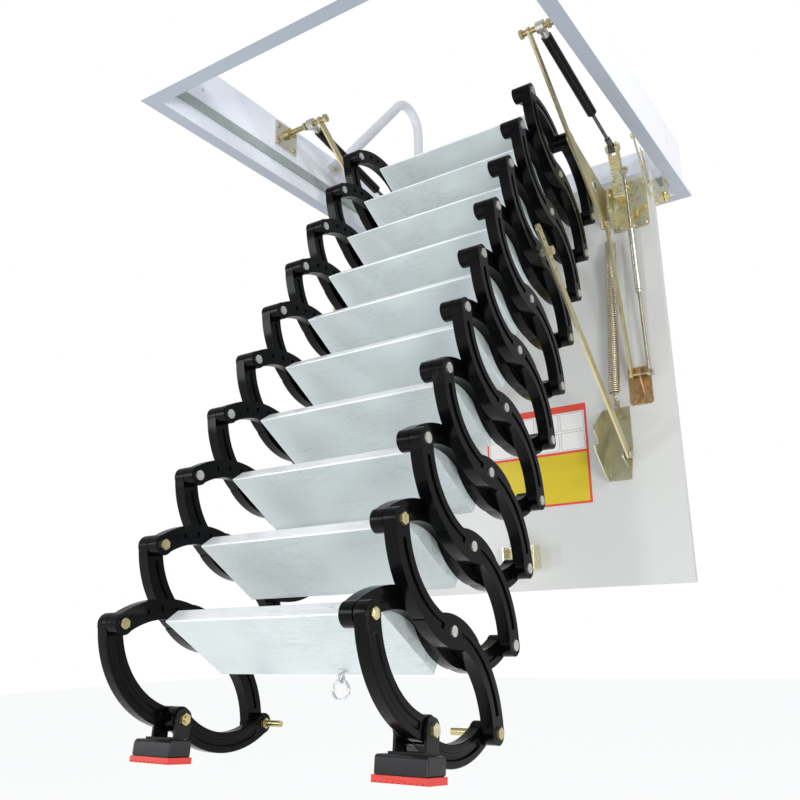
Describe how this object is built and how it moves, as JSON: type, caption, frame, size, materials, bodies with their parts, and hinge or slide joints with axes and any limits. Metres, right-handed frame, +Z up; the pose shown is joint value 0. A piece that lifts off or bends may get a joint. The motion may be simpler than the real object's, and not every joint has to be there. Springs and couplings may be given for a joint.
{
  "type": "attic ladder",
  "caption": "Concertina attic ladder hung from a hinged ceiling-hatch door, with scissor side arms, flat treads, stays, gas springs, a hand hoop and swivelling feet.",
  "frame": {"origin": "centre of the hatch opening, in the plane of the underside of the ceiling flange", "axes": "+X across the ladder, to the right of someone facing the treads; +Y towards the hinge side; +Z up"},
  "size_m": [0.8, 1.1445, 1.6832],
  "materials": {
    "frame_white": "smooth white powder coat",
    "gasket_grey": "soft grey-green foam rubber",
    "rail_white": "gloss white powder coat on tube",
    "zinc_yellow": "yellow passivated zinc plate, iridescent",
    "zinc_pale": "pale zinc plate",
    "copper_zinc": "reddish passivated zinc plate",
    "spring_steel": "yellow passivated spring wire",
    "door_white": "white laminate, satin",
    "arm_black": "gloss black powder coat on cast aluminium",
    "tread_white": "white coated extrusion with fine grain lines",
    "gas_black": "satin black tube",
    "rod_dark": "nitrided rod",
    "shoe_black": "moulded black plastic",
    "sole_red": "ribbed red rubber",
    "eye_chrome": "bright zinc plate"
  },
  "bodies": {
    "frame": {"frame_box": "frame_white", "frame_gasket": "gasket_grey", "handrail": "rail_white", "hinge_hangers": "zinc_yellow", "stay_wall_brackets": "zinc_pale"},
    "door": {"door_panel": "door_white", "hinge_plates": "zinc_yellow", "ladder_carriers": "zinc_yellow", "tie_rod_brackets": "copper_zinc", "strut_brackets": "zinc_yellow", "counter_springs": "spring_steel", "latch_housing": "zinc_yellow", "lever_channels": "zinc_yellow", "tie_rods": "zinc_pale"},
    "upper_stays": {"stay_bars_upper": "zinc_yellow"},
    "lower_stays": {"stay_bars_lower": "zinc_yellow"},
    "gas_cylinders": {"gas_spring_cylinders": "gas_black"},
    "gas_rods": {"gas_spring_rods": "rod_dark"},
    "struts": {"ladder_struts": "zinc_yellow"},
    "inner_00": {"inner_arms_00": "arm_black"},
    "outer_00": {"outer_arms_00": "arm_black"},
    "inner_01": {"inner_arms_01": "arm_black", "tread_01": "tread_white", "eye_bolt": "eye_chrome"},
    "outer_01": {"outer_arms_01": "arm_black"},
    "inner_02": {"inner_arms_02": "arm_black", "tread_02": "tread_white"},
    "outer_02": {"outer_arms_02": "arm_black"},
    "inner_03": {"inner_arms_03": "arm_black", "tread_03": "tread_white"},
    "outer_03": {"outer_arms_03": "arm_black"},
    "inner_04": {"inner_arms_04": "arm_black", "tread_04": "tread_white"},
    "outer_04": {"outer_arms_04": "arm_black"},
    "inner_05": {"inner_arms_05": "arm_black", "tread_05": "tread_white"},
    "outer_05": {"outer_arms_05": "arm_black"},
    "inner_06": {"inner_arms_06": "arm_black", "tread_06": "tread_white"},
    "outer_06": {"outer_arms_06": "arm_black"},
    "inner_07": {"inner_arms_07": "arm_black", "tread_07": "tread_white"},
    "outer_07": {"outer_arms_07": "arm_black"},
    "inner_08": {"inner_arms_08": "arm_black", "tread_08": "tread_white"},
    "outer_08": {"outer_arms_08": "arm_black"},
    "inner_09": {"inner_arms_09": "arm_black", "tread_09": "tread_white"},
    "outer_09": {"outer_arms_09": "arm_black"},
    "inner_10": {"inner_arms_10": "arm_black", "tread_10": "tread_white"},
    "outer_10": {"outer_arms_10": "arm_black"},
    "foot_left": {"foot_bracket_left": "gas_black", "foot_shoe_left": "shoe_black", "foot_sole_left": "sole_red"},
    "foot_right": {"foot_bracket_right": "gas_black", "foot_shoe_right": "shoe_black", "foot_sole_right": "sole_red"},
    "ring": {"eye_ring": "eye_chrome"}
  },
  "joints": [
    {"name": "door_hinge", "type": "hinge", "parent": "frame", "child": "door", "pos_m": [0, 0.4, -0.04], "axis": [-1, 0, 0], "range_deg": [0, 18]},
    {"name": "upper_stay_pivot", "type": "hinge", "parent": "frame", "child": "upper_stays", "pos_m": [0, -0.12, 0.12], "axis": [1, 0, 0], "range_deg": [-0.2, 8.21]},
    {"name": "lower_stay_pivot", "type": "hinge", "parent": "door", "child": "lower_stays", "pos_m": [0, 0.302, -0.492], "axis": [1, 0, 0], "range_deg": [-11.54, 0.2]},
    {"name": "gas_spring_pivot", "type": "hinge", "parent": "frame", "child": "gas_cylinders", "pos_m": [0, -0.12, 0.12], "axis": [1, 0, 0], "range_deg": [-0.2, 6.59]},
    {"name": "gas_spring_stroke", "type": "slide", "parent": "gas_cylinders", "child": "gas_rods", "axis": [0, 0.9806, -0.1961], "range_m": [-0.001, 0.028]},
    {"name": "ladder_fold", "type": "hinge", "parent": "door", "child": "inner_10", "pos_m": [0, 0.1224, 0.0124], "axis": [1, 0, 0], "range_deg": [-15.6, 33.8]},
    {"name": "top_outer_pivot", "type": "hinge", "parent": "door", "child": "outer_10", "pos_m": [0, 0.1224, 0.0124], "axis": [1, 0, 0], "range_deg": [-18.4, 8.6]},
    {"name": "strut_pivot", "type": "hinge", "parent": "door", "child": "struts", "pos_m": [0, 0.296, -0.666], "axis": [1, 0, 0], "range_deg": [-22.35, 48.2]},
    {"name": "front_pivot_10", "type": "hinge", "parent": "inner_10", "child": "outer_09", "pos_m": [0, -0.055, 0.03463], "axis": [1, 0, 0], "range_deg": [-52.2, 24.2]},
    {"name": "cross_pivot_09", "type": "hinge", "parent": "outer_09", "child": "inner_09", "pos_m": [0, 0.05979, -0.10244], "axis": [1, 0, 0], "range_deg": [-24.2, 52.2]},
    {"name": "front_pivot_09", "type": "hinge", "parent": "inner_09", "child": "outer_08", "pos_m": [0, -0.11762, -0.08021], "axis": [1, 0, 0], "range_deg": [-52.2, 24.2]},
    {"name": "cross_pivot_08", "type": "hinge", "parent": "outer_08", "child": "inner_08", "pos_m": [0, -0.00283, -0.21728], "axis": [1, 0, 0], "range_deg": [-24.2, 52.2]},
    {"name": "front_pivot_08", "type": "hinge", "parent": "inner_08", "child": "outer_07", "pos_m": [0, -0.18023, -0.19505], "axis": [1, 0, 0], "range_deg": [-52.2, 24.2]},
    {"name": "cross_pivot_07", "type": "hinge", "parent": "outer_07", "child": "inner_07", "pos_m": [0, -0.06544, -0.33212], "axis": [1, 0, 0], "range_deg": [-24.2, 52.2]},
    {"name": "front_pivot_07", "type": "hinge", "parent": "inner_07", "child": "outer_06", "pos_m": [0, -0.24284, -0.30989], "axis": [1, 0, 0], "range_deg": [-52.2, 24.2]},
    {"name": "cross_pivot_06", "type": "hinge", "parent": "outer_06", "child": "inner_06", "pos_m": [0, -0.12805, -0.44696], "axis": [1, 0, 0], "range_deg": [-24.2, 52.2]},
    {"name": "front_pivot_06", "type": "hinge", "parent": "inner_06", "child": "outer_05", "pos_m": [0, -0.30545, -0.42473], "axis": [1, 0, 0], "range_deg": [-52.2, 24.2]},
    {"name": "cross_pivot_05", "type": "hinge", "parent": "outer_05", "child": "inner_05", "pos_m": [0, -0.19066, -0.5618], "axis": [1, 0, 0], "range_deg": [-24.2, 52.2]},
    {"name": "front_pivot_05", "type": "hinge", "parent": "inner_05", "child": "outer_04", "pos_m": [0, -0.36807, -0.53957], "axis": [1, 0, 0], "range_deg": [-52.2, 24.2]},
    {"name": "cross_pivot_04", "type": "hinge", "parent": "outer_04", "child": "inner_04", "pos_m": [0, -0.25328, -0.67664], "axis": [1, 0, 0], "range_deg": [-24.2, 52.2]},
    {"name": "front_pivot_04", "type": "hinge", "parent": "inner_04", "child": "outer_03", "pos_m": [0, -0.43068, -0.65441], "axis": [1, 0, 0], "range_deg": [-52.2, 24.2]},
    {"name": "cross_pivot_03", "type": "hinge", "parent": "outer_03", "child": "inner_03", "pos_m": [0, -0.31589, -0.79148], "axis": [1, 0, 0], "range_deg": [-24.2, 52.2]},
    {"name": "front_pivot_03", "type": "hinge", "parent": "inner_03", "child": "outer_02", "pos_m": [0, -0.49329, -0.76925], "axis": [1, 0, 0], "range_deg": [-52.2, 24.2]},
    {"name": "cross_pivot_02", "type": "hinge", "parent": "outer_02", "child": "inner_02", "pos_m": [0, -0.3785, -0.90632], "axis": [1, 0, 0], "range_deg": [-24.2, 52.2]},
    {"name": "front_pivot_02", "type": "hinge", "parent": "inner_02", "child": "outer_01", "pos_m": [0, -0.55591, -0.88409], "axis": [1, 0, 0], "range_deg": [-52.2, 24.2]},
    {"name": "cross_pivot_01", "type": "hinge", "parent": "outer_01", "child": "inner_01", "pos_m": [0, -0.44112, -1.02116], "axis": [1, 0, 0], "range_deg": [-24.2, 52.2]},
    {"name": "front_pivot_01", "type": "hinge", "parent": "inner_01", "child": "outer_00", "pos_m": [0, -0.61852, -0.99893], "axis": [1, 0, 0], "range_deg": [-52.2, 24.2]},
    {"name": "cross_pivot_00", "type": "hinge", "parent": "outer_00", "child": "inner_00", "pos_m": [0, -0.50373, -1.136], "axis": [1, 0, 0], "range_deg": [-24.2, 52.2]},
    {"name": "left_foot_swivel", "type": "hinge", "parent": "inner_00", "child": "foot_left", "pos_m": [-0.2176, -0.50373, -1.136], "axis": [1, 0, 0], "range_deg": [-8, 2]},
    {"name": "right_foot_swivel", "type": "hinge", "parent": "inner_00", "child": "foot_right", "pos_m": [0.2176, -0.50373, -1.136], "axis": [1, 0, 0], "range_deg": [-8, 2]},
    {"name": "ring_swing", "type": "hinge", "parent": "inner_01", "child": "ring", "pos_m": [0.052, -0.44214, -1.08098], "axis": [1, 0, 0], "range_deg": [-25, 25]}
  ],
  "couplings": [
    {"joint": "upper_stay_pivot", "follows": "door_hinge", "ratio": 0.445},
    {"joint": "lower_stay_pivot", "follows": "door_hinge", "ratio": -0.63},
    {"joint": "gas_spring_pivot", "follows": "door_hinge", "ratio": 0.355},
    {"joint": "gas_spring_stroke", "follows": "door_hinge", "m_per_rad": 0.084},
    {"joint": "top_outer_pivot", "follows": "ladder_fold", "ratio": -0.53846},
    {"joint": "strut_pivot", "follows": "ladder_fold", "ratio": 1.42},
    {"joint": "front_pivot_10", "follows": "ladder_fold", "ratio": -1.5385},
    {"joint": "cross_pivot_09", "follows": "ladder_fold", "ratio": 1.5385},
    {"joint": "front_pivot_09", "follows": "ladder_fold", "ratio": -1.5385},
    {"joint": "cross_pivot_08", "follows": "ladder_fold", "ratio": 1.5385},
    {"joint": "front_pivot_08", "follows": "ladder_fold", "ratio": -1.5385},
    {"joint": "cross_pivot_07", "follows": "ladder_fold", "ratio": 1.5385},
    {"joint": "front_pivot_07", "follows": "ladder_fold", "ratio": -1.5385},
    {"joint": "cross_pivot_06", "follows": "ladder_fold", "ratio": 1.5385},
    {"joint": "front_pivot_06", "follows": "ladder_fold", "ratio": -1.5385},
    {"joint": "cross_pivot_05", "follows": "ladder_fold", "ratio": 1.5385},
    {"joint": "front_pivot_05", "follows": "ladder_fold", "ratio": -1.5385},
    {"joint": "cross_pivot_04", "follows": "ladder_fold", "ratio": 1.5385},
    {"joint": "front_pivot_04", "follows": "ladder_fold", "ratio": -1.5385},
    {"joint": "cross_pivot_03", "follows": "ladder_fold", "ratio": 1.5385},
    {"joint": "front_pivot_03", "follows": "ladder_fold", "ratio": -1.5385},
    {"joint": "cross_pivot_02", "follows": "ladder_fold", "ratio": 1.5385},
    {"joint": "front_pivot_02", "follows": "ladder_fold", "ratio": -1.5385},
    {"joint": "cross_pivot_01", "follows": "ladder_fold", "ratio": 1.5385},
    {"joint": "front_pivot_01", "follows": "ladder_fold", "ratio": -1.5385},
    {"joint": "cross_pivot_00", "follows": "ladder_fold", "ratio": 1.5385}
  ]
}
